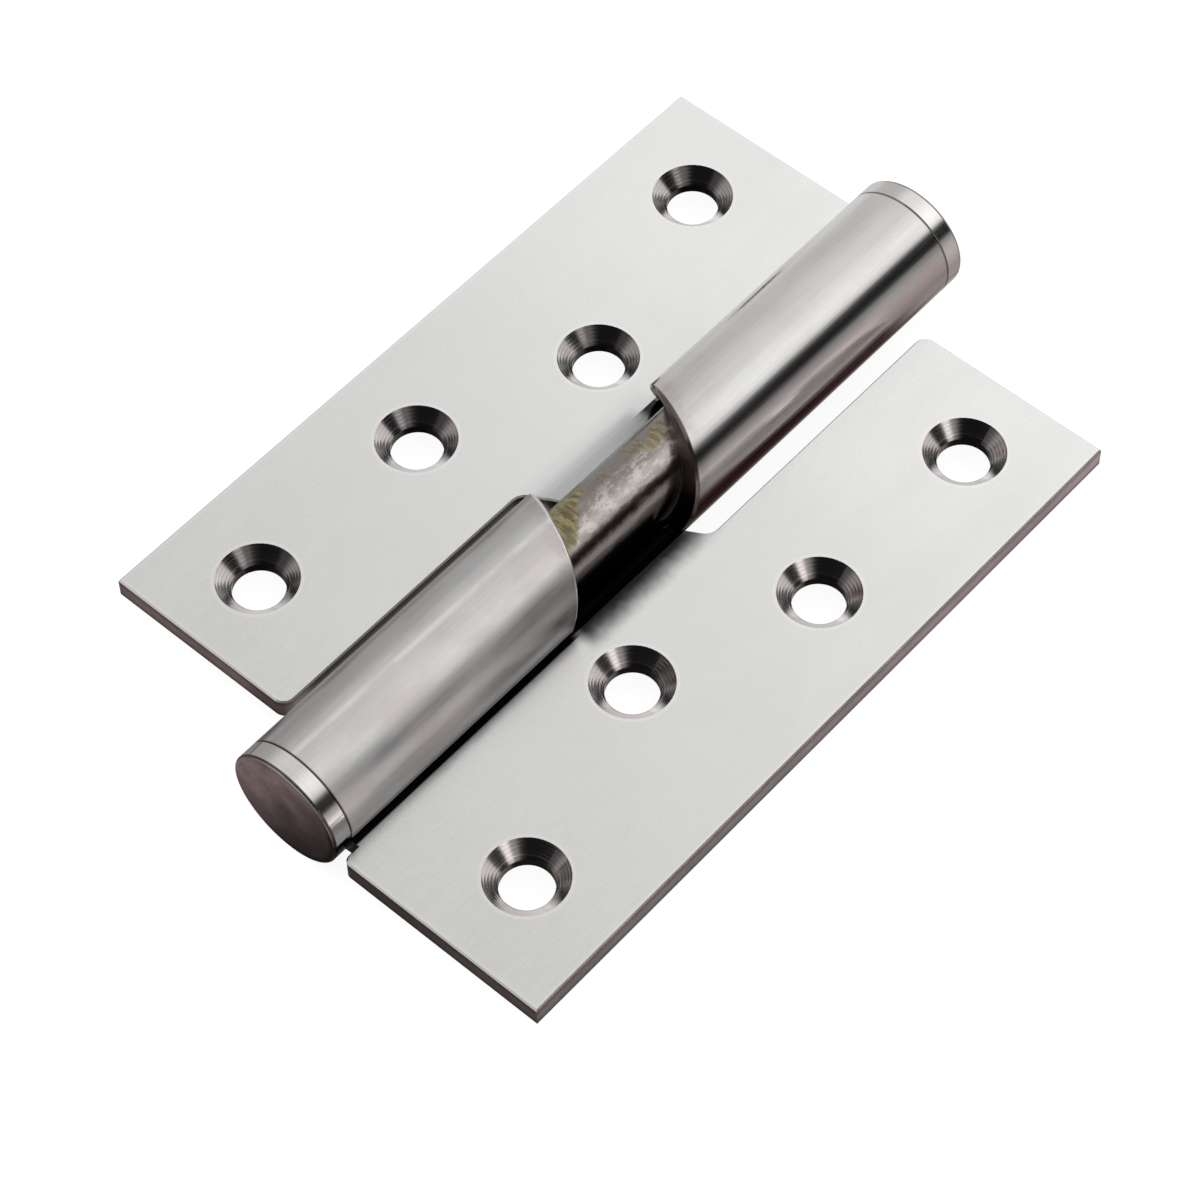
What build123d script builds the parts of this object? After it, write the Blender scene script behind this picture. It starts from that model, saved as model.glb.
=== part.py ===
from build123d import *
import math
import os

# Rising butt hinge, stainless steel, lying flat and fully open.
# Row frame: the pin axis runs along +X (the rising direction), Y across the
# leaves, Z up. Origin on the floor under the middle of the hinge, so the
# lowest line of the two knuckles is at Z = 0.

# ---------------------------------------------------------------- driving sizes
LEAF_L = 102.0        # leaf length along the pin
LEAF_W = 38.0         # pin axis to the leaf's outer edge (76 mm over both leaves)
T = 3.0               # sheet thickness of leaf and rolled knuckle
R_OUT = 7.9           # outside radius of the rolled knuckle
R_BORE = R_OUT - T    # inside radius of the rolled knuckle
AXIS_Z = R_OUT        # height of the pin axis
AXIS_OVER_LEAF = 1.7  # pin axis above the leaf's top face
PITCH = 21.0          # rise per full turn of the helical knuckle ends
OFFSET = PITCH / 2    # one leaf stands this much higher when fully open
END_GAP = 0.05        # each helical end is cut back this much, so 0.1 mm between them

BEND_R = 3.5          # middle radius of the reverse bend between plate and knuckle
SEAM_GAP = 0.45       # between the free edge of the roll and the leaf's face
SEAM_R = 0.4          # rounding of the roll's free edge, outside

CAP_RIM = 2.8         # visible width of an end cap
TUBE_END = 53.7       # knuckle end, from the middle of the hinge
CAP_FACE = TUBE_END + CAP_RIM
SPIGOT_END = 47.7     # inner end of the caps' spigots
SPIGOT_R = R_BORE - 0.05
CAP_EDGE = 0.35       # rounding of the cap's outer rim
CAP_BREAK = 0.15      # broken edge at the joint line between cap and knuckle

PIN_R = R_BORE - 0.05
PIN_LOW = -SPIGOT_END
PIN_TOP = 36.5        # leaves the upper knuckle room to drop over the pin
PIN_CHAMFER = 0.6

NOTCH_Y = 10.6        # edge of the leaf beside the other leaf's knuckle
NOTCH_R = 2.0         # rounding at the notch's inner corner
CORNER_R = 1.6        # rounding of the leaf's corner beside the other knuckle
RELIEF_Y = 8.7        # leaf edge beside its own end cap
RELIEF_R = 1.0
EDGE_BREAK = 0.2      # broken edges round the plates
HELIX_BREAK = 0.3     # broken edge along the helical end, outside

HOLE_X = (11.0, 38.5, 62.5, 90.0)   # screw holes, from the leaf's notched end
HOLE_Y = (12.3, 12.3, 20.6, 12.3)   # screw holes, from the leaf's outer edge
HOLE_R = 3.3
CSK_R = 5.15          # countersink at the leaf's top face, 90 degree cone

# ---------------------------------------------------------------- derived sizes
Z_TOP = AXIS_Z - AXIS_OVER_LEAF
Z_BACK = Z_TOP - T
X_LOW = -LEAF_L / 2 - OFFSET / 2     # lower end of the frame leaf
X_HIGH = LEAF_L / 2 - OFFSET / 2     # upper end of the frame leaf
R_MID = (R_OUT + R_BORE) / 2
MID_DROP = R_MID - (AXIS_OVER_LEAF + T / 2)
BETA = math.degrees(math.acos(1 - MID_DROP / (R_MID + BEND_R)))
BEND_Y = (R_MID + BEND_R) * math.sin(math.radians(BETA))
BEND_CZ = Z_BACK - (BEND_R - T / 2)
ROOT_A = 270 - BETA                                   # roll leaves the bend here
SEAM_A = 180 + math.degrees(math.asin((AXIS_OVER_LEAF - SEAM_GAP) / R_OUT))


def on_circle(r, a):
    """Point on a circle about the pin axis, a in degrees from +Y towards +Z."""
    return (r * math.cos(math.radians(a)), AXIS_Z + r * math.sin(math.radians(a)))


def helix_x(a):
    """Height of the frame leaf's helical knuckle end at angle a (180 to 540)."""
    return OFFSET / 2 - (a - 180) / 360 * PITCH - END_GAP


def rolled_section():
    """Section of one leaf: plate, reverse bend and roll, in the YZ plane."""
    with BuildSketch(Plane.YZ) as sk:
        with BuildLine():
            Line((-LEAF_W, Z_BACK), (-LEAF_W, Z_TOP))
            Line((-LEAF_W, Z_TOP), (-BEND_Y, Z_TOP))
            CenterArc((-BEND_Y, BEND_CZ), BEND_R + T / 2, 90, -BETA)
            CenterArc((0, AXIS_Z), R_BORE, ROOT_A, 360 + SEAM_A - ROOT_A)
            Line(on_circle(R_BORE, SEAM_A), on_circle(R_OUT, SEAM_A))
            CenterArc((0, AXIS_Z), R_OUT, SEAM_A, -(360 + SEAM_A - ROOT_A))
            CenterArc((-BEND_Y, BEND_CZ), BEND_R - T / 2, 90 - BETA, BETA)
            Line((-BEND_Y, Z_BACK), (-LEAF_W, Z_BACK))
        make_face()
        y, z = on_circle(R_OUT, SEAM_A)
        lip = sk.vertices().sort_by_distance((y, z, 0))[0]
        fillet(lip, SEAM_R)
    return sk.sketch


def helical_prisms(a0, a1, n, r_in, r_far, slope):
    """Space beyond the helical end, as prisms over sectors of one turn.

    Slope is how much the end drops for each millimetre outwards from r_in.
    """
    cutters = []
    for i in range(n):
        s0 = a0 + (a1 - a0) * i / n
        s1 = a0 + (a1 - a0) * (i + 1) / n
        grid = []
        for j in range(19):
            a = s0 + (s1 - s0) * j / 18
            row = []
            for k in range(4):
                r = r_in + (r_far - r_in) * k / 3
                y, z = on_circle(r, a)
                row.append(Vector(helix_x(a) - slope * (r - r_in), y, z))
            grid.append(row)
        face = Face.make_surface_from_array_of_points(grid, tol=1e-4)
        cutters.append(Solid.extrude(face, Vector(80, 0, 0)))
    return cutters


def notch_outline():
    """The notch beside the other knuckle, seen from above."""
    slope = 0.57
    root_y, root_x = 5.5, 2.46
    corner_x = root_x + slope * (NOTCH_Y - root_y)
    with BuildSketch() as cut:
        with BuildLine():
            Polyline((root_x, -root_y), (corner_x, -NOTCH_Y), (70, -NOTCH_Y), (70, -root_y),
                     close=True)
        make_face()
        corner = cut.vertices().sort_by_distance((corner_x, -NOTCH_Y, 0))[0]
        fillet(corner, NOTCH_R)
    return cut.sketch


# ---------------------------------------------------------------- frame leaf
section = rolled_section()
leaf = extrude(section, LEAF_L)
leaf = leaf.moved(Location((X_LOW, 0, 0)))

# helical end of the knuckle
for c in helical_prisms(SEAM_A + 2.0, 360 + SEAM_A + 0.02, 4,
                        R_BORE - 1.0, R_OUT + 0.05, 0.0):
    leaf = leaf - c
for c in helical_prisms(ROOT_A + 6.0, 360 + SEAM_A + 0.02, 4,
                        R_OUT - HELIX_BREAK, R_OUT + 0.01, 1.0):
    leaf = leaf - c

# the notch beside the other leaf's knuckle
notch = extrude(notch_outline(), 40).moved(Location((0, 0, -10)))
leaf = leaf - notch

# anything of the roll left beyond the highest point of its helical end
rest = Box(80, NOTCH_Y + 12, 30, align=(Align.MIN, Align.MIN, Align.CENTER)).moved(
    Location((OFFSET / 2 + 2.0, -NOTCH_Y, AXIS_Z)))
leaf = leaf - rest

# relief beside the end cap
relief = Box(10, 60, 40, align=(Align.MAX, Align.MIN, Align.CENTER)).moved(
    Location((-TUBE_END, -RELIEF_Y, AXIS_Z)))
leaf = leaf - relief

# screw holes with countersinks
for hx, hy in zip(HOLE_X, HOLE_Y):
    x, y = X_HIGH - hx, -LEAF_W + hy
    leaf = leaf - Cylinder(HOLE_R, 3 * T).moved(Location((x, y, Z_BACK + T / 2)))
    depth = CSK_R - HOLE_R
    over = 0.5
    cone = Cone(HOLE_R, CSK_R + over, depth + over,
                align=(Align.CENTER, Align.CENTER, Align.MIN))
    leaf = leaf - cone.moved(Location((x, y, Z_TOP - depth)))


def vertical_edge(shape, x, y):
    """The plate's vertical edge nearest to a corner."""
    up = [e for e in shape.edges().filter_by(Axis.Z) if abs(e.length - T) < 0.01]
    return min(up, key=lambda e: math.hypot(e.center().X - x, e.center().Y - y))


leaf = leaf.solids().sort_by(SortBy.VOLUME)[-1]
leaf = leaf.fillet(CORNER_R, [vertical_edge(leaf, X_HIGH, -NOTCH_Y)])
leaf = leaf.fillet(RELIEF_R, [vertical_edge(leaf, X_LOW, -RELIEF_Y)])


def outline_edges(shape):
    """Edges of the plate's outline on its two faces, clear of the bend."""
    found = []
    for e in shape.edges():
        b = e.bounding_box()
        flat = b.max.Z - b.min.Z < 1e-3
        level = abs(b.min.Z - Z_TOP) < 1e-3 or abs(b.min.Z - Z_BACK) < 1e-3
        hole = e.geom_type == GeomType.CIRCLE and e.length > 15
        if flat and level and not hole and b.min.Y < -NOTCH_Y + 0.6 and b.max.Y < -8.5:
            found.append(e)
    return found


leaf = leaf.chamfer(EDGE_BREAK, None, outline_edges(leaf))

frame_leaf = leaf
door_leaf = leaf.rotate(Axis.Z, 180)

# ---------------------------------------------------------------- pin and caps
pin = Cylinder(PIN_R, PIN_TOP - PIN_LOW, align=(Align.CENTER, Align.CENTER, Align.MIN))
pin = chamfer(pin.edges(), PIN_CHAMFER)
hinge_pin = pin.rotate(Axis.Y, 90).moved(Location((PIN_LOW, 0, AXIS_Z)))


def make_cap():
    """End cap: button with a spigot, built along +Z from the spigot's end."""
    spigot_l = TUBE_END - SPIGOT_END
    spigot = Cylinder(SPIGOT_R, spigot_l, align=(Align.CENTER, Align.CENTER, Align.MIN))
    spigot = chamfer(spigot.edges().sort_by(Axis.Z)[0], 0.5)
    button = Cylinder(R_OUT, CAP_RIM, align=(Align.CENTER, Align.CENTER, Align.MIN))
    button = fillet(button.edges().sort_by(Axis.Z)[-1], CAP_EDGE)
    button = chamfer(button.edges().sort_by(Axis.Z)[0], CAP_BREAK)
    return spigot + button.moved(Location((0, 0, spigot_l)))


cap = make_cap()
upper_cap = cap.rotate(Axis.Y, 90).moved(Location((SPIGOT_END, 0, AXIS_Z)))
lower_cap = cap.rotate(Axis.Y, -90).moved(Location((-SPIGOT_END, 0, AXIS_Z)))

# ---------------------------------------------------------------- files
os.makedirs("parts", exist_ok=True)
for name, shape in (
    ("frame_leaf", frame_leaf),
    ("door_leaf", door_leaf),
    ("hinge_pin", hinge_pin),
    ("lower_cap", lower_cap),
    ("upper_cap", upper_cap),
):
    solids = shape.solids()
    export_step(solids[0] if len(solids) == 1 else Compound(children=list(solids)),
                "parts/" + name + ".step")
    print(name, len(solids), "solid", round(sum(s.volume for s in solids), 1), "mm3",
          shape.bounding_box())
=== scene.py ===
import bpy
import math
from mathutils import Matrix, Vector

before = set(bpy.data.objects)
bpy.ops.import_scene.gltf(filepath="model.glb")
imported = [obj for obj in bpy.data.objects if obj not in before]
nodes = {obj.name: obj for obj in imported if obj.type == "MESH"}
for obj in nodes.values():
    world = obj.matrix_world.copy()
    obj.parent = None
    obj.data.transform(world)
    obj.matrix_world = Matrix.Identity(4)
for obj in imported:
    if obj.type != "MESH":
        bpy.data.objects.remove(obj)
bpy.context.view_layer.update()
scene = bpy.context.scene

# Sizes of the CAD frame that the finishes follow, in metres.
AXIS_Z = 0.0079
R_OUT = 0.0079
PIN_R = 0.00485
LEAF_TOP = 0.0062
LEAF_BACK = 0.0032
LEAF_W = 0.038
NOTCH_Y = 0.0106
TUBE_END = 0.0537
CAP_FACE = 0.0565
X_LOW, X_HIGH = -0.05625, 0.04575
HOLES = ((0.03475, -0.0257), (0.00725, -0.0257), (-0.01675, -0.0174), (-0.04425, -0.0257))
CSK_R = 0.00515
MM = 0.001


# ------------------------------------------------------------------ camera
def make_camera():
    azimuth, elevation = math.radians(47.645), math.radians(55.0)
    target = Vector((-0.010537, -0.006922, 0.0062))
    away = Vector((-math.cos(elevation) * math.sin(azimuth),
                   -math.cos(elevation) * math.cos(azimuth),
                   math.sin(elevation)))
    cam = bpy.data.objects.new("camera", bpy.data.cameras.new("camera"))
    scene.collection.objects.link(cam)
    right = (-away).cross(Vector((0, 0, 1))).normalized()
    up = right.cross(-away)
    roll = -0.0201
    right, up = (math.cos(roll) * right + math.sin(roll) * up,
                 -math.sin(roll) * right + math.cos(roll) * up)
    turn = Matrix((right, up, away)).transposed()
    cam.matrix_world = Matrix.Translation(target + away * 0.44468) @ turn.to_4x4()
    cam.data.sensor_width = 36.0
    cam.data.lens = 113.46
    cam.data.clip_start, cam.data.clip_end = 0.01, 20.0
    scene.camera = cam


# ------------------------------------------------------------------ node helpers
class Net:
    """Small helper that adds nodes to one node tree."""

    def __init__(self, tree):
        self.t = tree
        self.n = tree.nodes
        self.n.clear()

    def add(self, kind, **kw):
        node = self.n.new(kind)
        for k, v in kw.items():
            setattr(node, k, v)
        return node

    def put(self, socket, value):
        if isinstance(value, bpy.types.NodeSocket):
            self.t.links.new(value, socket)
        elif value is not None:
            socket.default_value = value

    def math(self, op, a, b=None, c=None, clamp=False):
        node = self.add("ShaderNodeMath", operation=op, use_clamp=clamp)
        for s, v in zip(node.inputs, (a, b, c)):
            self.put(s, v)
        return node.outputs[0]

    def mul(self, *values):
        out = values[0]
        for v in values[1:]:
            out = self.math("MULTIPLY", out, v)
        return out

    def plus(self, *values):
        out = values[0]
        for v in values[1:]:
            out = self.math("ADD", out, v)
        return out

    def inv(self, a):
        return self.math("SUBTRACT", 1.0, a)

    def step(self, value, lo, hi, out0=0.0, out1=1.0, kind="SMOOTHSTEP"):
        if lo > hi:
            lo, hi, out0, out1 = hi, lo, out1, out0
        node = self.add("ShaderNodeMapRange", interpolation_type=kind, clamp=True)
        self.put(node.inputs["Value"], value)
        for name, v in (("From Min", lo), ("From Max", hi), ("To Min", out0), ("To Max", out1)):
            self.put(node.inputs[name], v)
        return node.outputs[0]

    def band(self, value, lo, hi, soft):
        """1 between lo and hi, with soft edges."""
        return self.math("MULTIPLY", self.step(value, lo - soft, lo + soft),
                         self.step(value, hi - soft, hi + soft, 1.0, 0.0))

    def mix(self, fac, a, b, blend="MIX"):
        node = self.add("ShaderNodeMix", data_type="RGBA", blend_type=blend)
        self.put(node.inputs[0], fac)
        self.put(node.inputs[6], a)
        self.put(node.inputs[7], b)
        return node.outputs[2]

    def lerp(self, fac, a, b):
        node = self.add("ShaderNodeMix", data_type="FLOAT")
        self.put(node.inputs[0], fac)
        self.put(node.inputs[2], a)
        self.put(node.inputs[3], b)
        return node.outputs[0]

    def shade(self, colour, amount):
        """Colour times a number."""
        node = self.add("ShaderNodeVectorMath", operation="SCALE")
        self.put(node.inputs[0], colour)
        self.put(node.inputs["Scale"], amount)
        return node.outputs[0]

    def xyz(self, vector):
        node = self.add("ShaderNodeSeparateXYZ")
        self.put(node.inputs[0], vector)
        return node.outputs

    def vec(self, x, y, z):
        node = self.add("ShaderNodeCombineXYZ")
        for s, v in zip(node.inputs, (x, y, z)):
            self.put(s, v)
        return node.outputs[0]

    def noise(self, vector, scale, detail=3.0, rough=0.5, distortion=0.0):
        node = self.add("ShaderNodeTexNoise")
        self.put(node.inputs["Vector"], vector)
        node.inputs["Scale"].default_value = scale
        node.inputs["Detail"].default_value = detail
        node.inputs["Roughness"].default_value = rough
        node.inputs["Distortion"].default_value = distortion
        return node.outputs["Fac"]

    def ramp(self, value, lo, hi, stops, gain):
        """Piecewise linear curve through (place, level) stops."""
        fac = self.step(value, lo, hi, kind="LINEAR")
        node = self.add("ShaderNodeValToRGB")
        self.put(node.inputs[0], fac)
        els = node.color_ramp.elements
        while len(els) > 1:
            els.remove(els[0])
        for i, (place, level) in enumerate(stops):
            at = (place - lo) / (hi - lo)
            e = els[0] if i == 0 else els.new(at)
            e.position = at
            e.color = (level / gain,) * 3 + (1,)
        return self.math("MULTIPLY", self.xyz(node.outputs[0])[0], gain)


# ------------------------------------------------------------------ studio light
def make_world():
    """A soft tent studio, given as brightness round the hinge pin's direction."""
    world = bpy.data.worlds.new("studio")
    scene.world = world
    world.use_nodes = True
    g = Net(world.node_tree)
    coord = g.add("ShaderNodeTexCoord")
    x, y, z = g.xyz(coord.outputs["Generated"])
    # angle round the X axis: 0 straight up, +90 towards -Y, -90 towards +Y
    chi = g.math("MULTIPLY", g.math("ARCTAN2", g.math("MULTIPLY", y, -1.0), z), 180.0 / math.pi)

    near = g.ramp(chi, -180, 180, (
        (-180, .05), (-165, .10), (-150, .16), (-120, .18), (-105, .34), (-73, .42), (-50, .54),
        (-36, .62), (-24, .58), (-9, .54), (0, .62), (7, .74),
        (18, .84), (27, .80), (38, .74), (46, .66), (51, .26), (56, .05), (70, .03),
        (75, .12), (79, .45), (88, .74), (97, .90), (108, .80), (119, .57), (139, .25),
        (152, .32), (160, .18), (166, .02), (180, .02)), 2.0)
    far = g.ramp(chi, -180, 180, (
        (-180, .45), (-160, .60), (-110, .84), (-89, .88), (-57, .90), (-25, 1.12), (-9, 1.20),
        (7, 1.42), (22, 1.62), (34, 1.56), (41, 1.35), (46, .85), (50, .20), (55, .04),
        (67, .02), (72, .06), (77, .34), (90, .62), (105, .70), (118, .62), (135, .46),
        (159, .44), (172, .34), (180, .40)), 2.0)
    left = g.ramp(chi, -180, 180, (
        (-180, .16), (-155, .13), (-120, .22), (-100, .42), (-80, .52), (-55, .60), (-20, .78),
        (25, .78), (60, .55), (88, .50), (110, .32), (150, .18), (180, .16)), 2.0)
    level = g.lerp(g.step(x, 0.30, 0.50, kind="LINEAR"), near, far)
    level = g.lerp(g.step(x, 0.575, 0.67), level, 0.66)
    level = g.lerp(g.step(x, 0.02, 0.20), left, level)
    # narrow card in front, and the dark room high on the left
    card = g.mul(g.band(chi, 52, 80, 6), g.band(x, -0.16, 0.12, 0.05), 1.5)
    level = g.plus(level, card)
    dark = g.mul(g.step(x, -0.32, -0.52), g.step(z, 0.30, 0.42), g.step(y, 0.40, 0.22))
    level = g.lerp(dark, level, 0.09)
    # warmer low down
    low = g.step(g.math("ABSOLUTE", chi), 70, 110)
    front = g.step(chi, 70, 110)
    tint = g.mix(front, (1.0, .990, .982, 1), (1.0, .90, .87, 1))
    tint = g.mix(g.mul(g.step(x, 0.1, -0.2), low), tint, (1.0, .80, .79, 1))
    colour = g.shade(tint, level)
    seen = g.add("ShaderNodeLightPath").outputs["Is Camera Ray"]
    colour = g.mix(seen, colour, (.97, .97, .97, 1))
    back = g.add("ShaderNodeBackground")
    g.put(back.inputs["Color"], colour)
    out = g.add("ShaderNodeOutputWorld")
    g.put(out.inputs["Surface"], back.outputs[0])


def make_floor():
    size = 3.0
    mesh = bpy.data.meshes.new("floor")
    mesh.from_pydata([(-size, -size, 0), (size, -size, 0), (size, size, 0), (-size, size, 0)],
                     [], [(0, 1, 2, 3)])
    floor = bpy.data.objects.new("floor", mesh)
    scene.collection.objects.link(floor)
    mat = bpy.data.materials.new("floor_paper")
    mat.use_nodes = True
    g = Net(mat.node_tree)
    bsdf = g.add("ShaderNodeBsdfPrincipled")
    bsdf.inputs["Base Color"].default_value = (0.34, 0.34, 0.34, 1)
    bsdf.inputs["Roughness"].default_value = 1.0
    bsdf.inputs["Specular IOR Level"].default_value = 0.0
    bsdf.inputs["Emission Color"].default_value = (1, 1, 1, 1)
    bsdf.inputs["Emission Strength"].default_value = 0.89
    out = g.add("ShaderNodeOutputMaterial")
    g.put(out.inputs["Surface"], bsdf.outputs[0])
    mesh.materials.append(mat)
    floor.visible_glossy = False


# ------------------------------------------------------------------ finishes
def finish(name):
    mat = bpy.data.materials.new(name)
    mat.use_nodes = True
    g = Net(mat.node_tree)
    bsdf = g.add("ShaderNodeBsdfPrincipled")
    bsdf.inputs["Metallic"].default_value = 1.0
    out = g.add("ShaderNodeOutputMaterial")
    g.put(out.inputs["Surface"], bsdf.outputs[0])
    coord = g.add("ShaderNodeTexCoord")
    return mat, g, bsdf, coord.outputs["Object"], coord.outputs["Normal"]


def bump(g, bsdf, height, distance, strength=1.0):
    node = g.add("ShaderNodeBump")
    node.inputs["Strength"].default_value = strength
    node.inputs["Distance"].default_value = distance
    g.put(node.inputs["Height"], height)
    g.put(bsdf.inputs["Normal"], node.outputs[0])


def leaf_finish(name, side, knuckle_rough, blotch, tube_a, tube_b, bright_lip):
    """Satin plate, drawn knuckle, turned countersinks, sheared edges.

    side is +1 for the frame leaf and -1 for the door leaf, which is the same
    blank turned half a turn.
    """
    mat, g, bsdf, place, normal = finish(name)
    # the weight set here is 1 on the frame leaf and .10 on the door leaf; it sets how strong most of the painted
    # shade and highlights below are
    frame_weight = bright_lip
    px, py, w = g.xyz(place)
    mx, my, nw = g.xyz(normal)
    u, v = g.mul(px, side), g.mul(py, side)
    nu, nv = g.mul(mx, side), g.mul(my, side)
    dz = g.math("SUBTRACT", w, AXIS_Z)
    r = g.math("SQRT", g.plus(g.mul(v, v), g.mul(dz, dz)))
    phi = g.math("MULTIPLY", g.math("ARCTAN2", dz, v), 180 / math.pi)
    tube = g.mul(g.step(r, 8.3 * MM, 8.0 * MM), g.step(v, -7.95 * MM, -7.85 * MM))
    full = g.plus(phi, g.step(phi, -155.001, -155.0, 360.0, 0.0, "LINEAR"))
    plate = g.inv(tube)
    flat = g.step(g.math("ABSOLUTE", nw), .90, .985)
    wall = g.mul(g.step(g.math("ABSOLUTE", nw), .45, .25), plate)

    # distance to the nearest screw hole's middle
    near = None
    for hx, hy in HOLES:
        a = g.math("SUBTRACT", u, hx)
        b = g.math("SUBTRACT", v, hy)
        d = g.math("SQRT", g.plus(g.mul(a, a), g.mul(b, b)))
        near = d if near is None else g.math("MINIMUM", near, d)
    upper = g.step(nw, -.10, .20)
    sink = g.mul(g.step(near, 5.26 * MM, 5.20 * MM), g.step(w, LEAF_BACK + .3 * MM, LEAF_BACK + .7 * MM), g.inv(g.mul(flat, g.step(near, 5.0 * MM, 5.18 * MM))))
    bore = g.mul(g.step(near, 3.5 * MM, 3.36 * MM), g.step(g.math("ABSOLUTE", nw), .45, .25))

    # -- plate faces: rolled satin sheet, very fine grain along the leaf
    along = g.vec(g.mul(u, 0.10), v, w)
    fine = g.noise(place, 5200, 2.0, .6)
    rolled = g.noise(along, 3600, 3.0, .6)
    cloud = g.noise(place, 55, 3.0, .55)
    smear = g.noise(g.vec(g.mul(u, 0.35), v, w), 160, 3.0, .6)
    tone = g.plus(g.step(fine, .25, .75, -.030, .030, "LINEAR"),
                  g.step(rolled, .25, .75, -.030, .030, "LINEAR"),
                  g.step(cloud, .30, .70, -.020, .020, "LINEAR"),
                  g.step(smear, .35, .70, -.012, .012, "LINEAR"), 1.0)
    face = g.mix(cloud, (.805, .805, .795, 1), (.785, .795, .797, 1))
    face = g.shade(face, tone)
    # painted light: the plate is lighter towards its right end
    face = g.shade(face, g.step(px, 2 * MM, 45 * MM, 1.0, 1.085))
    face_rough = g.plus(.29, g.step(rolled, .3, .7, -.03, .03, "LINEAR"),
                        g.step(smear, .3, .7, -.03, .03, "LINEAR"))
    # painted highlight: a pale band along the outline and round the countersinks, where a rounded edge catches
    # light
    rim = g.math("MINIMUM",
                 g.math("MINIMUM", g.math("SUBTRACT", u, X_LOW), g.math("SUBTRACT", X_HIGH, u)),
                 g.math("ADD", v, LEAF_W))
    rim = g.mul(g.step(rim, .75 * MM, .2 * MM), plate)
    halo = g.mul(g.band(near, 5.18 * MM, 5.55 * MM, .12 * MM), upper)
    rim_highlight = g.math("MAXIMUM", rim, halo)
    face = g.mix(g.mul(rim_highlight, .55), face, (.93, .905, .895, 1))
    # painted shade in the corner under the roll and the pin
    chip = g.noise(place, 420, 3.0, .6)
    root = g.step(g.plus(v, g.mul(g.math("SUBTRACT", chip, .5), .8 * MM)), -9.9 * MM, -7.7 * MM)
    by_pin = g.step(u, -17.0 * MM, -14.8 * MM)
    root = g.mul(root, g.inv(by_pin), g.step(u, -53 * MM, -34 * MM, .25, .72), upper, frame_weight)
    face = g.shade(face, g.inv(root))
    under_pin_shade = g.plus(v, g.mul(g.math("SUBTRACT", chip, .5), 1.2 * MM))
    under_pin_shade = g.mul(g.step(under_pin_shade, -12.0 * MM, -8.1 * MM), by_pin, g.step(u, 9.0 * MM, 2.0 * MM), upper, frame_weight)
    face = g.shade(face, g.math("POWER", g.inv(g.mul(under_pin_shade, .94)), 1.35))
    # painted shadow: a black line on the plate beside the roll's free edge
    seam_shadow = g.mul(g.step(v, -8.6 * MM, -8.4 * MM), g.inv(by_pin), upper, frame_weight)
    face = g.shade(face, g.inv(g.mul(seam_shadow, .985)))

    # -- sheared edges: brownish, drawn out along the edge, brighter in the middle
    streak = g.noise(g.vec(g.mul(u, .07), g.mul(v, .07), w), 2600, 4.0, .65)
    patch = g.noise(place, 140, 3.0, .6)
    rip = g.noise(place, 900, 3.0, .6)
    edge = g.mix(streak, (.49, .435, .435, 1), (.72, .665, .65, 1))
    edge = g.mix(g.mul(g.band(w, LEAF_BACK + .95 * MM, LEAF_TOP - .85 * MM, .35 * MM), .8),
                 g.shade(edge, .82), g.shade(edge, 1.16))
    edge = g.shade(edge, g.step(patch, .3, .7, .86, 1.10, "LINEAR"))
    edge = g.shade(edge, g.step(rip, .3, .7, .93, 1.07, "LINEAR"))
    edge = g.shade(edge, g.step(w, LEAF_TOP - .25 * MM, LEAF_TOP - .6 * MM, .62, 1.0))
    edge = g.shade(edge, g.step(w, LEAF_BACK + .25 * MM, LEAF_BACK + .65 * MM, .40, 1.0))
    # painted light and shade on the sheared edges: the end edge much darker, the edges darker to the left and
    # lighter to the right, and gradients along both end edges
    edge = g.shade(edge, g.step(u, X_LOW + 1.0 * MM, X_LOW + .2 * MM, .94, .50))
    edge = g.shade(edge, g.step(px, -45 * MM, 25 * MM, 1.0 - .20 * frame_weight, 1.0))
    edge = g.shade(edge, g.step(px, 32 * MM, 44 * MM, 1.0, 1.0 + .20 * frame_weight))
    edge = g.shade(edge, g.lerp(g.mul(g.step(u, X_LOW + 1.0 * MM, X_LOW + .2 * MM), frame_weight), 1.0,
                                g.step(v, -33 * MM, -16 * MM, 1.45, .85)))
    edge = g.shade(edge, g.lerp(g.mul(g.step(u, X_HIGH - 1.0 * MM, X_HIGH - .2 * MM), 1.0 - frame_weight), 1.0,
                                g.step(v, -19 * MM, -13 * MM, 1.18, .58)))
    # painted shade on the notch wall, mainly on the door leaf, strongest near the top face
    notch = g.mul(g.step(v, -12.4 * MM, -11.2 * MM), g.step(u, 43.6 * MM, 40.0 * MM), g.step(u, -50 * MM, -48 * MM))
    notch = g.mul(notch, g.step(w, LEAF_TOP - 1.5 * MM, LEAF_TOP - 1.1 * MM, .45, .90), 1.0 - frame_weight)
    edge = g.shade(edge, g.inv(notch))
    # painted shadow: the leaf's end wall beside its own cap is darkened almost to black
    edge = g.shade(edge, g.inv(g.mul(g.step(v, -9.4 * MM, -9.0 * MM), g.step(u, -52.0 * MM, -53.0 * MM), .93)))

    # -- countersinks: turned rings in a darker cut surface, its darkness partly painted shade of the recess
    turn = g.noise(g.vec(g.mul(near, 1.0), g.mul(w, .6), 0.0), 6500, 2.0, .55)
    ring = g.math("SINE", g.plus(g.mul(near, 2 * math.pi / (.34 * MM)), g.mul(chip, 3.0)))
    cut = g.mix(turn, (.24, .22, .22, 1), (.44, .41, .405, 1))
    cut = g.shade(cut, g.step(ring, -1, 1, .88, 1.08, "LINEAR"))
    # painted shade: darker at the bore
    cut = g.shade(cut, g.step(near, 3.3 * MM, 3.75 * MM, .55, 1.0))
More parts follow.
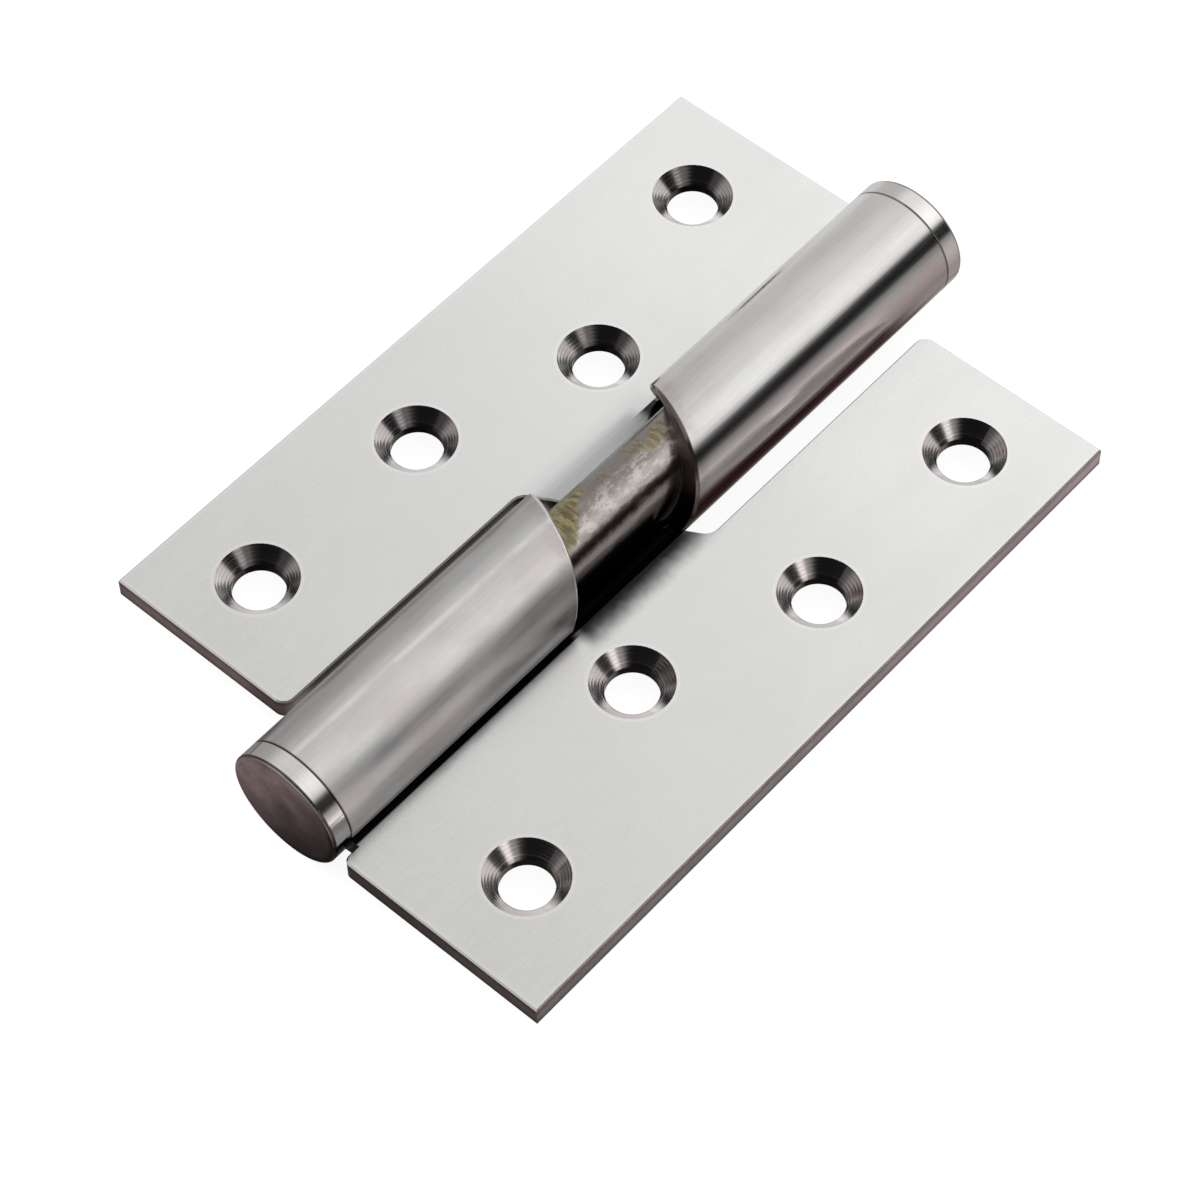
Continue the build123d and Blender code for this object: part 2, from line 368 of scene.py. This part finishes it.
    # painted light and shade on the countersink walls, set by the way each part of the wall faces
    lean = g.plus(g.mul(mx, .74), g.mul(my, .67))
    away = g.plus(g.mul(mx, .951), g.mul(my, .309))
    port = g.plus(g.mul(mx, .68), g.mul(my, -.73))
    four = g.plus(g.mul(mx, -.215), g.mul(my, .977))
    eleven = g.plus(g.mul(mx, -.302), g.mul(my, -.953))
    cut = g.shade(cut, g.mul(g.step(port, .48, .60, 1.0, 1.75), g.step(four, .60, .68, 1.0, 1.9),
                             g.step(eleven, .60, .69, 1.0, .34 + .66 * frame_weight)))
    cut = g.shade(cut, g.plus(g.step(away, -.665, -.53, .22, 1.3), g.step(lean, -.40, .35)))

    # -- roll: drawn sheet, lines along the pin, soft blotches
    lines = g.noise(g.vec(g.mul(u, .03), v, w), 2400, 4.0, .6)
    broad = g.noise(g.vec(g.mul(u, .12), v, w), 420, 3.0, .55)
    spots = g.noise(g.vec(g.mul(u, .55), v, w), 210, 4.0, .6)
    haze = g.noise(g.vec(g.mul(u, .4), v, w), 75, 3.0, .55)
    roll = g.mix(g.step(spots, .35, .65), tube_a, tube_b)
    roll = g.shade(roll, g.plus(1.0, g.step(lines, .3, .7, -.05, .05, "LINEAR"),
                                g.step(broad, .3, .7, -.05 * blotch, .05 * blotch, "LINEAR"),
                                g.step(haze, .3, .7, -.10 * blotch, .10 * blotch, "LINEAR")))
    roll_rough = g.plus(knuckle_rough, g.step(haze, .35, .65, -.05 * blotch, .05 * blotch, "LINEAR"),
                        g.step(lines, .3, .7, -.025, .025, "LINEAR"),
                        g.step(spots, .35, .65, -.03 * blotch, .03 * blotch, "LINEAR"))
    # helical end: how far below the cut a point lies, along the pin
    turn_a = g.plus(phi, 360.0, g.step(phi, -155.001, -155.0, 360.0, 0.0, "LINEAR"))
    lift = g.math("SUBTRACT", g.plus(5.2 * MM, g.mul(g.math("SUBTRACT", turn_a, 180.0),
                                                     -21.0 * MM / 360)), u)
    arris = g.mul(g.band(lift, -.30 * MM, .42 * MM, .06 * MM), g.step(r, 7.45 * MM, 7.6 * MM), tube)
    lip = g.mul(g.step(w, 6.9 * MM, 7.2 * MM), g.band(lift, -.30 * MM, .42 * MM, .06 * MM), g.step(r, 7.45 * MM, 7.6 * MM),
                g.step(u, -5.5 * MM, -7.5 * MM), tube, bright_lip)
    # darker in patches up to about 3 mm from the helical end
    near_cut_dark = g.mul(g.step(lift, 3.2 * MM, .7 * MM), g.step(r, 7.7 * MM, 7.8 * MM))
    roll = g.shade(roll, g.inv(g.mul(near_cut_dark, g.step(chip, .3, .75), .22)))
    end = g.mul(g.step(g.math("ABSOLUTE", nu), .72, .86), tube, g.step(u, X_LOW + 4 * MM, X_LOW + 6 * MM))
    saw = g.noise(g.vec(u, g.mul(v, .25), g.mul(w, .25)), 3000, 3.0, .6)
    end_col = g.mix(saw, (.12, .085, .083, 1), (.21, .165, .16, 1))
    # painted shade: the helical end face goes black towards the bottom
    end_col = g.shade(end_col, g.step(w, 8.5 * MM, 14.0 * MM, .06, 1.0))
    # free edge of the roll, above the plate: a painted highlight along it and a painted shadow under it
    seam = g.band(full, 179.0, 187.6, 1.2)
    under = g.mul(g.band(w, 4.6 * MM, 6.81 * MM, .07 * MM), g.step(v, -6.6 * MM, -7.0 * MM))
    # dark line at the joint with the cap
    joint = g.step(g.math("ABSOLUTE", g.math("SUBTRACT", u, -TUBE_END)), .20 * MM, .05 * MM)
    roll = g.shade(roll, g.inv(g.mul(joint, .6)))
    # painted shade: the frame knuckle darker low on the side facing its own plate
    roll = g.shade(roll, g.lerp(g.step(full, 158, 176), 1.0, 1.0 - .40 * frame_weight))
    roll = g.mix(g.mul(seam, .8), roll, (.88, .85, .83, 1))
    # painted highlight: a light streak along the top of the frame knuckle
    roll = g.shade(roll, g.plus(1.0, g.mul(g.band(phi, 84, 88.5, 3.5), g.step(spots, .30, .60), .40 * frame_weight)))
    roll = g.shade(roll, g.inv(g.mul(under, .93)))
    # painted shadow: black under the pin on the frame leaf's side
    below = g.mul(g.step(w, 7.0 * MM, 6.6 * MM), g.step(v, -2.0 * MM, -3.5 * MM), by_pin, upper, frame_weight)
    roll = g.shade(roll, g.inv(g.mul(below, .96)))
    # painted highlight: a brighter streak low on the roll
    gleam = g.mul(g.band(full, 153, 166, 5), g.lerp(g.step(u, -36 * MM, -20 * MM), 1.0, .45))
    roll = g.shade(roll, g.plus(1.0, g.mul(gleam, .25 * frame_weight)))
    # painted highlight: a lighter band on the door knuckle, tinted pink over a wider band
    sheen = g.mul(g.band(full, 16, 28, 5), g.step(u, -44 * MM, -30 * MM))
    roll = g.mix(g.mul(sheen, 1.0 - frame_weight), roll, g.shade(roll, 2.1))
    roll = g.mix(g.mul(g.band(full, 2, 26, 6), 1.0 - frame_weight), roll, (1.0, .91, .89, 1), "MULTIPLY")
    # painted reflection: a dark red-brown slanted band low on the door knuckle
    slant = g.plus(phi, g.step(u, -45 * MM, -10 * MM, 8.0, -14.0, "LINEAR"))
    slant_reflection = g.mul(g.step(slant, 4.0, -4.0), g.step(phi, -50, -30), g.step(u, -53 * MM, -46 * MM), 1.0 - frame_weight)
    roll = g.mix(g.mul(slant_reflection, .80), roll, (.050, .026, .026, 1))
    # painted shade: a near-black band along the door knuckle's side towards the frame leaf
    belly = g.mul(g.band(phi, -13.0, 6.0, 4.0), g.step(u, -50 * MM, -40 * MM), 1.0 - frame_weight)
    roll = g.mix(g.mul(belly, g.step(phi, -12, -4, .92, .97)), roll, (.030, .010, .012, 1))
    # painted shade: both knuckles darker and browner low on the side towards the other leaf
    hull = g.mul(g.step(phi, -10, -18), g.step(phi, -110, -50))
    roll = g.mix(g.mul(hull, .6), roll, (.26, .20, .20, 1))
    # painted shade on the side turned to the other leaf, and painted light on the door knuckle's own side
    roll = g.shade(roll, g.lerp(g.mul(g.step(phi, 54, 42), frame_weight), 1.0, .45))
    roll = g.shade(roll, g.lerp(g.mul(g.band(phi, 52, 74, 7), frame_weight), 1.0, .84))
    roll = g.shade(roll, g.step(phi, 116, 138, 1.0, 1.0 + .35 * (1.0 - frame_weight)))
    # painted shade: a darker band on the frame knuckle's side towards its own plate, near the helical end
    low_front_shade = g.mul(g.band(phi, 138, 172, 6), g.step(u, -36 * MM, -20 * MM), frame_weight)
    roll = g.shade(roll, g.inv(g.mul(low_front_shade, g.step(haze, .3, .6, .30, .55, "LINEAR"))))
    # painted highlight: a pale line along the frame knuckle's helical edge
    roll = g.mix(g.mul(lip, .9), roll, (.93, .87, .86, 1))
    # painted shade: a dark band along the door knuckle's helical edge
    roll = g.mix(g.mul(arris, 1.0 - frame_weight), roll, (.16, .12, .12, 1))
    roll = g.mix(end, roll, end_col)
    # painted shade: dark inside the roll's bore
    inside = g.step(r, 5.4 * MM, 5.0 * MM)
    roll = g.mix(g.mul(inside, tube), roll, (.16, .14, .135, 1))

    # -- put together
    colour = g.mix(wall, face, edge)
    colour = g.mix(sink, colour, cut)
    # painted shade: the bore a shade darker than the cut
    colour = g.mix(bore, colour, g.shade(cut, .6))
    colour = g.mix(tube, colour, roll)
    rough = g.lerp(wall, face_rough, g.step(streak, .3, .7, .34, .46, "LINEAR"))
    rough = g.lerp(sink, rough, g.step(turn, .3, .7, .13, .24, "LINEAR"))
    rough = g.lerp(tube, rough, roll_rough)
    rough = g.plus(rough, g.mul(g.band(full, 8, 30, 6), tube, .09 * (1.0 - frame_weight)))
    rough = g.lerp(g.mul(end, tube), rough, .42)
    rough = g.lerp(g.mul(seam, tube), rough, .70)
    # the bend behind the pin, dull
    behind = g.mul(g.step(v, -9.8 * MM, -8.2 * MM), g.step(v, -3.5 * MM, -4.5 * MM),
                   g.band(u, -13 * MM, 15 * MM, 1.5 * MM), g.step(w, 7.0 * MM, 6.7 * MM), upper, 1.0 - frame_weight)
    colour = g.mix(behind, colour, (.86, .87, .88, 1))
    # the broken edge beside the other knuckle, rubbed dull
    nick = g.mul(g.band(g.math("ABSOLUTE", nw), .60, .82, .08), g.step(v, -10.95 * MM, -10.75 * MM),
                 g.step(v, -9.8 * MM, -10.2 * MM), upper, plate, frame_weight)
    colour = g.mix(nick, colour, (.95, .95, .95, 1))
    rough = g.lerp(behind, rough, .85)
    rough = g.lerp(nick, rough, .95)
    # the painted near-black band and the painted slanted reflection also get a red-brown specular tint
    g.put(bsdf.inputs["Specular Tint"], g.mix(g.mul(g.math("MAXIMUM", belly, slant_reflection), tube), (1, 1, 1, 1),
                                              (.52, .42, .42, 1)))
    g.put(bsdf.inputs["Base Color"], colour)
    g.put(bsdf.inputs["Roughness"], rough)
    height = g.lerp(sink, g.mul(g.plus(fine, rolled), .025), g.plus(g.mul(turn, .8), g.mul(ring, .30)))
    height = g.lerp(wall, height, g.plus(g.mul(streak, 2.2), g.mul(rip, .8)))
    tube_h = g.plus(g.mul(lines, .55), g.mul(broad, 1.4 * blotch), g.mul(spots, 2.2 * blotch))
    height = g.lerp(tube, height, tube_h)
    bump(g, bsdf, height, 0.010 * MM, 0.8)
    return mat


def cap_finish(name, side):
    """Turned button: bright rim with fine turning marks, matt brown-grey face."""
    mat, g, bsdf, place, normal = finish(name)
    px, y, z = g.xyz(place)
    nx = g.xyz(normal)[0]
    x = g.mul(px, side)                     # outwards along the pin
    dz = g.math("SUBTRACT", z, AXIS_Z)
    r = g.math("SQRT", g.plus(g.mul(y, y), g.mul(dz, dz)))
    facing = g.step(g.mul(nx, side), .90, .985)
    turn = g.noise(g.vec(x, 0.0, g.mul(r, .4)), 5200, 3.0, .6)
    soft = g.noise(place, 260, 3.0, .55)
    rimc = g.mix(soft, (.66, .645, .635, 1), (.60, .585, .575, 1))
    rimc = g.shade(rimc, g.step(turn, .3, .7, .965, 1.035, "LINEAR"))
    joint = g.step(x, TUBE_END + .32 * MM, TUBE_END + .12 * MM)
    rimc = g.shade(rimc, g.inv(g.mul(joint, .55)))
    arris = g.band(x, CAP_FACE - .42 * MM, CAP_FACE - .10 * MM, .08 * MM)
    phi = g.math("MULTIPLY", g.math("ARCTAN2", dz, y), 180 / math.pi)
    phi = g.plus(phi, g.step(phi, -90.001, -90.0, 360.0, 0.0, "LINEAR"))
    lower = .5 - .5 * side
    # painted shade along the arris between face and rim, and painted light and shade in bands round the rim, mostly
    # on the lower cap
    rimc = g.shade(rimc, g.inv(g.mul(arris, .45 + .42 * lower)))
    rimc = g.shade(rimc, g.plus(1.0, g.mul(g.band(phi, 149, 165, 4), .55 * lower)))
    rimc = g.shade(rimc, g.plus(1.0, g.mul(g.band(phi, 74, 124, 6), .30 * lower)))
    rimc = g.shade(rimc, g.inv(g.mul(g.band(phi, 56, 84, 6), .22 * (1.0 - lower))))
    rimc = g.shade(rimc, g.inv(g.mul(g.step(phi, 166, 174), .50 * lower)))
    rimc = g.shade(rimc, g.inv(g.mul(g.step(phi, 175, 181), .90 * lower)))
    # face: concentric turning marks, cloudy brown-grey film, with painted shade making it darker low on one side
    ring = g.noise(g.vec(r, 0.0, 0.0), 3400, 3.0, .65)
    coarse = g.math("SINE", g.plus(g.mul(r, 2 * math.pi / (.62 * MM)), g.mul(soft, 2.5)))
    film = g.noise(g.vec(x, g.mul(y, .7), z), 190, 4.0, .6)
    mottle = g.noise(place, 1500, 3.0, .6)
    fall = g.step(g.plus(g.mul(y, .75), g.mul(dz, .85)), -7.0 * MM, 5.0 * MM, .16, 1.30)
    disc = g.mix(g.step(film, .35, .65), (.44, .375, .375, 1), (.66, .60, .59, 1))
    disc = g.shade(disc, g.step(ring, .3, .7, .90, 1.10, "LINEAR"))
    disc = g.shade(disc, g.step(coarse, -1, 1, .955, 1.045, "LINEAR"))
    disc = g.shade(disc, g.step(mottle, .3, .7, .93, 1.07, "LINEAR"))
    disc = g.shade(disc, fall)
    disc = g.shade(disc, g.step(r, 0.3 * MM, 3.2 * MM, .56, 1.0))
    # painted shade: the face's lower edge darker on the lower cap
    foot = g.mul(g.step(r, 6.7 * MM, 7.4 * MM), g.step(g.plus(g.mul(y, .75), g.mul(dz, .85)), -1.0 * MM, -4.5 * MM))
    disc = g.shade(disc, g.inv(g.mul(foot, .80 * lower)))
    colour = g.mix(facing, rimc, disc)
    spigot = g.step(x, TUBE_END - .02 * MM, TUBE_END - .06 * MM)
    colour = g.mix(spigot, colour, g.shade(rimc, .8))
    g.put(bsdf.inputs["Base Color"], colour)
    rough = g.lerp(facing, g.step(turn, .3, .7, .075, .135, "LINEAR"),
                   g.step(film, .3, .7, .40, .50, "LINEAR"))
    g.put(bsdf.inputs["Roughness"], rough)
    height = g.lerp(facing, g.mul(turn, .35), g.plus(g.mul(ring, 1.6), g.mul(coarse, .25), g.mul(mottle, .6)))
    bump(g, bsdf, height, 0.010 * MM, 0.8)
    return mat


def pin_finish(name):
    """Bright pin, wet with old grease where the knuckles rub."""
    mat, g, bsdf, place, normal = finish(name)
    x, y, z = g.xyz(place)
    dz = g.math("SUBTRACT", z, AXIS_Z)
    phi = g.math("MULTIPLY", g.math("ARCTAN2", dz, y), 180 / math.pi)
    phi = g.plus(phi, g.step(phi, -90.001, -90.0, 360.0, 0.0, "LINEAR"))
    wob = g.noise(place, 300, 4.0, .6)
    wob2 = g.noise(g.vec(g.mul(x, .6), y, z), 900, 4.0, .65)
    off = g.math("SUBTRACT", wob, .5)
    off2 = g.math("SUBTRACT", wob2, .5)
    lines = g.noise(g.vec(g.mul(x, .05), y, z), 2800, 3.0, .6)
    base = g.mix(wob, (.55, .495, .455, 1), (.61, .575, .545, 1))
    base = g.shade(base, g.step(lines, .3, .7, .93, 1.07, "LINEAR"))
    # painted shade by angle round the pin: darkest behind the top, lightest just in front of it, darker again lower
    # down the front
    base = g.shade(base, g.step(g.plus(phi, g.mul(off2, 22)), 88, 112, .42, .68))
    base = g.shade(base, g.step(phi, 110, 120, 1.0, .72))
    # painted highlight: pale, duller smears on top, towards the left end
    pale_smear = g.mul(g.step(wob2, .46, .62), g.band(phi, 84, 124, 10), .55)
    base = g.mix(pale_smear, base, (.84, .76, .73, 1))
    # olive grease beside both knuckles
    def pool(cx, cp, rx, rp):
        a = g.mul(g.math("SUBTRACT", x, cx), 1 / rx)
        b = g.mul(g.math("SUBTRACT", phi, cp), 1 / rp)
        d = g.plus(g.mul(a, a), g.mul(b, b), g.mul(off, 1.6), g.mul(off2, 1.8))
        return g.step(d, 1.15, .55)
    # it runs down to the left knuckle's edge, which leans with the helix
    edge_x = g.math("SUBTRACT", x, g.plus(-10.55 * MM, g.mul(g.math("SUBTRACT", phi, 90.0), -21 * MM / 360)))
    first = g.mul(g.step(g.plus(edge_x, g.mul(off, 5.0 * MM), g.mul(off2, 3.5 * MM), g.mul(phi, .045 * MM)),
                         9.0 * MM, 7.4 * MM), g.step(phi, 126, 112))
    spread = g.noise(g.vec(g.mul(x, 1.2), g.mul(y, .45), g.mul(z, .45)), 620, 4.0, .65)
    second = g.mul(pool(8.2 * MM, 76, 3.4 * MM, 24), g.step(spread, .48, .58), .8)
    trace = g.mul(g.step(spread, .52, .62), g.band(phi, 50, 88, 10), g.band(x, -5 * MM, 9 * MM, 2 * MM), .55)
    olive = g.math("MAXIMUM", g.math("MAXIMUM", first, second), trace)
    streaks = g.noise(g.vec(x, g.mul(y, .28), g.mul(z, .28)), 1500, 4.0, .7)
    grease = g.mix(g.step(streaks, .36, .64), (.13, .105, .035, 1), (.44, .38, .19, 1))
    base = g.mix(g.mul(olive, g.step(streaks, .3, .6, .70, .95, "LINEAR")), base, grease)
    # painted reflection and shade: a black-brown wavy line, then a paler streak, then black underneath
    ripple = g.plus(phi, g.mul(off, 26), g.mul(off2, 16))
    line = g.band(ripple, 126, 140, 4.5)
    base = g.mix(g.mul(line, .92), base, (.085, .060, .052, 1))
    pale = g.band(ripple, 147, 156, 4)
    base = g.mix(g.mul(pale, .35), base, (.46, .38, .36, 1))
    low = g.step(ripple, 156, 172)
    base = g.mix(g.mul(low, .93), base, (.050, .035, .030, 1))
    # painted shade: the back of the pin dark and bluish
    back = g.step(phi, 52, 36)
    base = g.mix(g.mul(back, .75), base, (.14, .15, .17, 1))
    g.put(bsdf.inputs["Base Color"], base)
    rough = g.plus(.17, g.mul(olive, .16), g.mul(pale_smear, .22), g.step(wob2, .3, .7, 0, .10, "LINEAR"))
    g.put(bsdf.inputs["Roughness"], rough)
    height = g.plus(g.mul(lines, .5), g.mul(wob2, 2.5), g.mul(olive, 1.5), g.mul(wob, 6.0))
    bump(g, bsdf, height, 0.010 * MM, 0.8)
    return mat


def dress():
    looks = {
        "frame_leaf": leaf_finish("frame_leaf_steel", 1.0, .34, 1.0,
                                  (.645, .645, .645, 1), (.620, .590, .580, 1), 1.0),
        "door_leaf": leaf_finish("door_leaf_steel", -1.0, .12, .30,
                                 (.535, .535, .535, 1), (.520, .500, .490, 1), .10),
        "hinge_pin": pin_finish("hinge_pin_steel"),
        "lower_cap": cap_finish("lower_cap_steel", -1.0),
        "upper_cap": cap_finish("upper_cap_steel", 1.0),
    }
    for name, obj in nodes.items():
        obj.data.materials.clear()
        obj.data.materials.append(looks[name])


make_camera()
make_world()
make_floor()
dress()
scene.view_settings.view_transform = "Standard"
